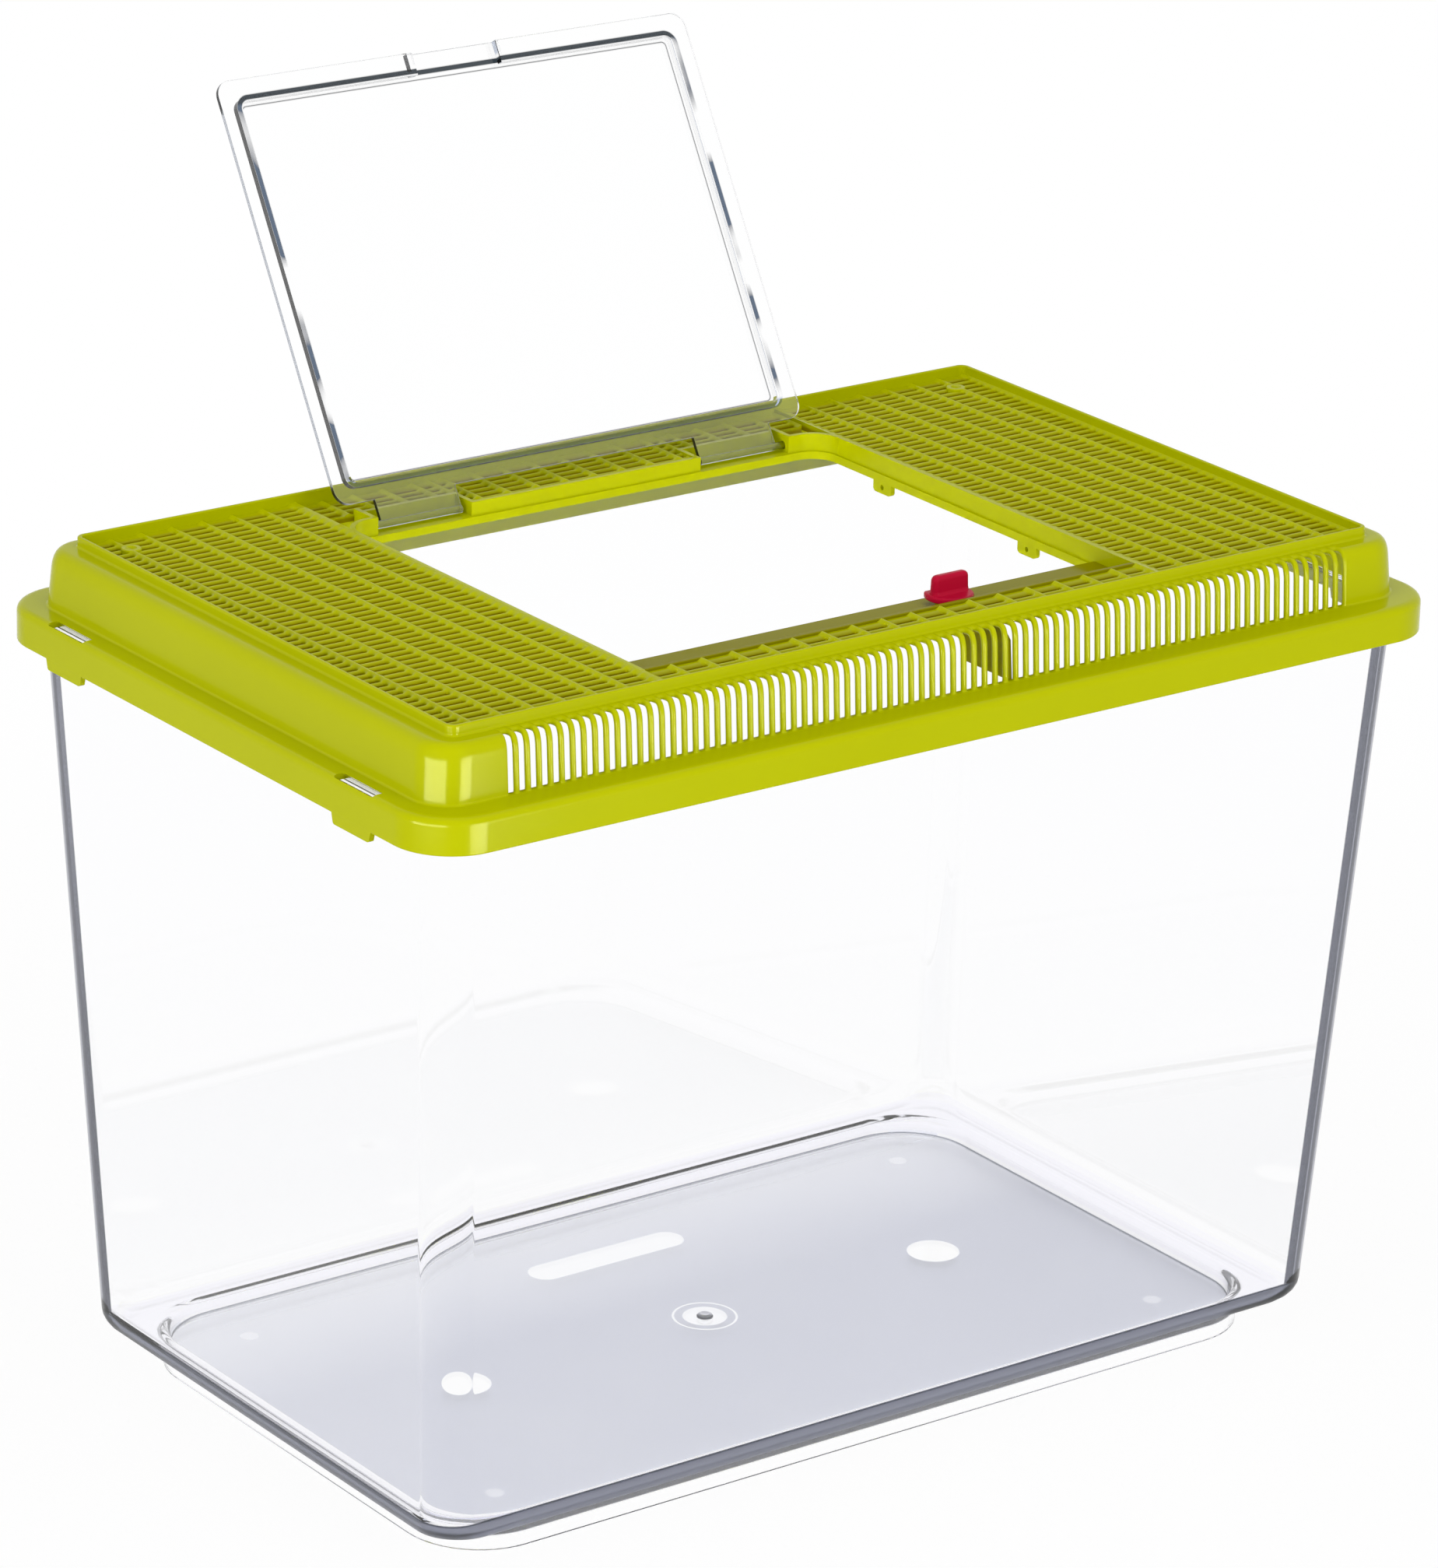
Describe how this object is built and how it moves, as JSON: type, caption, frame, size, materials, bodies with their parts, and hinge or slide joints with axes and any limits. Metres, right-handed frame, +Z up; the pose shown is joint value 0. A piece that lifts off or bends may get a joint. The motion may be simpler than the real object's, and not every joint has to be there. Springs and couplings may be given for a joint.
{
  "type": "plastic pet keeper",
  "caption": "Clear tapered tank with a ventilated green lid, a clear hinged hatch and a swivel latch that holds it shut.",
  "frame": {"origin": "centre of the footprint, on the plane the foot rests on", "axes": "+X along the long side, +Y towards the hatch hinge at the back, +Z up"},
  "size_m": [0.413, 0.2987, 0.4245],
  "materials": {
    "clear_tank": "clear moulded styrene, frosted floor",
    "green_plastic": "smooth yellow-green moulding, slight gloss",
    "clear_hatch": "clear moulded styrene",
    "red_plastic": "smooth crimson moulding"
  },
  "bodies": {
    "tank": {"tank": "clear_tank"},
    "lid": {"lid_rim": "green_plastic", "front_louvre": "green_plastic", "grille_left_ribs": "green_plastic", "grille_left_slats": "green_plastic", "grille_right_ribs": "green_plastic", "grille_right_slats": "green_plastic", "grille_front_ribs": "green_plastic", "grille_front_slats": "green_plastic", "grille_rear_ribs": "green_plastic", "grille_rear_slats": "green_plastic", "opening_wall_left": "green_plastic", "opening_wall_right": "green_plastic", "front_ledge": "green_plastic", "hinge_wall": "green_plastic"},
    "hatch": {"hatch": "clear_hatch"},
    "latch": {"latch_knob": "red_plastic"}
  },
  "joints": [
    {"name": "lid_lift", "type": "slide", "parent": "tank", "child": "lid", "axis": [0, 0, 1], "range_m": [0, 0.1]},
    {"name": "hatch_hinge", "type": "hinge", "parent": "lid", "child": "hatch", "pos_m": [0, 0.084, 0.288], "axis": [1, 0, 0], "range_deg": [0, 121]},
    {"name": "latch_turn", "type": "hinge", "parent": "lid", "child": "latch", "pos_m": [0.031, -0.0805, 0.288], "axis": [0, 0, 1], "range_deg": [0, 90]}
  ]
}
